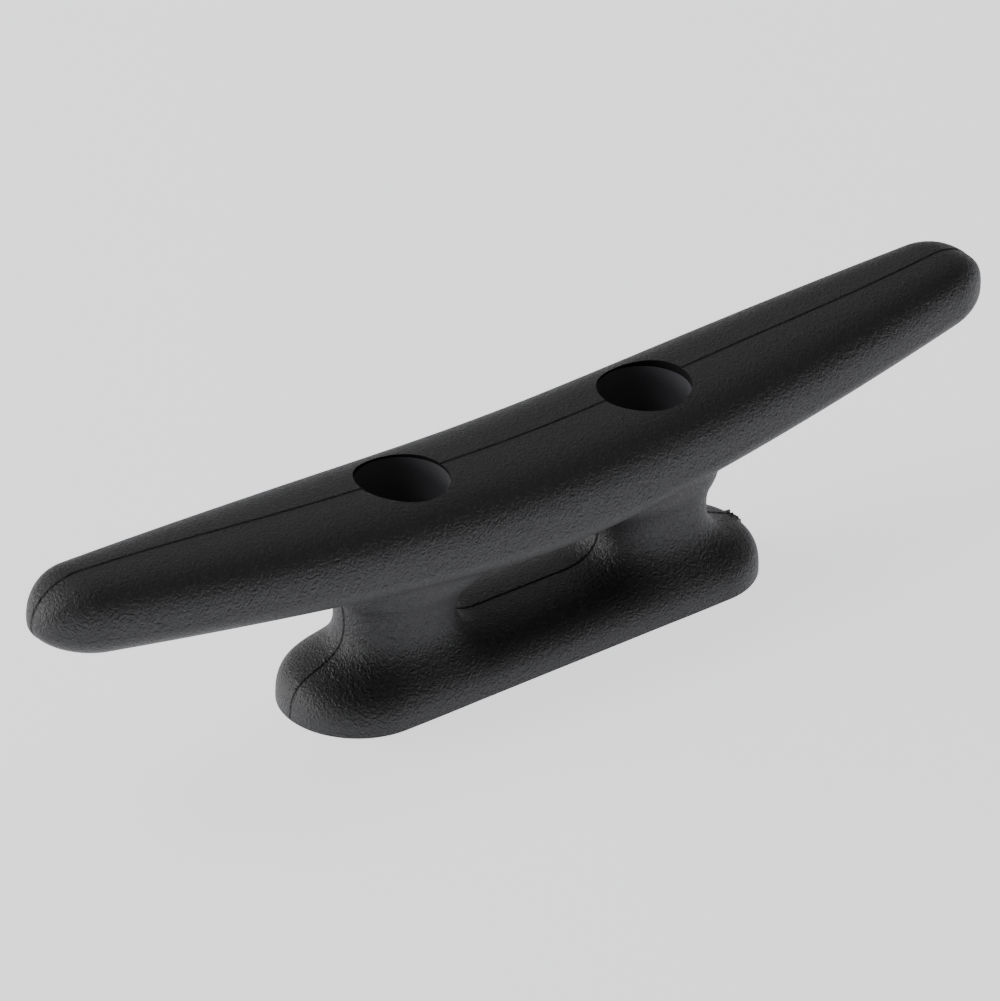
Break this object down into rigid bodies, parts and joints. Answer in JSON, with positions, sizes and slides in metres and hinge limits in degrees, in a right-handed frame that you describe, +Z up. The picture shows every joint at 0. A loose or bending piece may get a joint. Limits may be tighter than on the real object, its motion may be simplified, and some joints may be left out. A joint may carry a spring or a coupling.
{
  "type": "horn cleat",
  "caption": "Black moulded nylon horn cleat with an open base: a tapered bar with upswept horns on short flared legs, bored for screws from above.",
  "frame": {"origin": "middle of the underside of the base, on the deck, midway between the two screw holes", "axes": "+X along the horns and the line of screw holes, +Z up from the deck through the bar, +Y across the cleat"},
  "size_m": [0.152, 0.0222, 0.0334],
  "materials": {
    "black_nylon": "fine leather-like mould grain, bores smooth"
  },
  "bodies": {
    "root": {"base": "black_nylon", "left_leg": "black_nylon", "right_leg": "black_nylon", "crossbar": "black_nylon", "left_horn": "black_nylon", "right_horn": "black_nylon"}
  },
  "joints": []
}
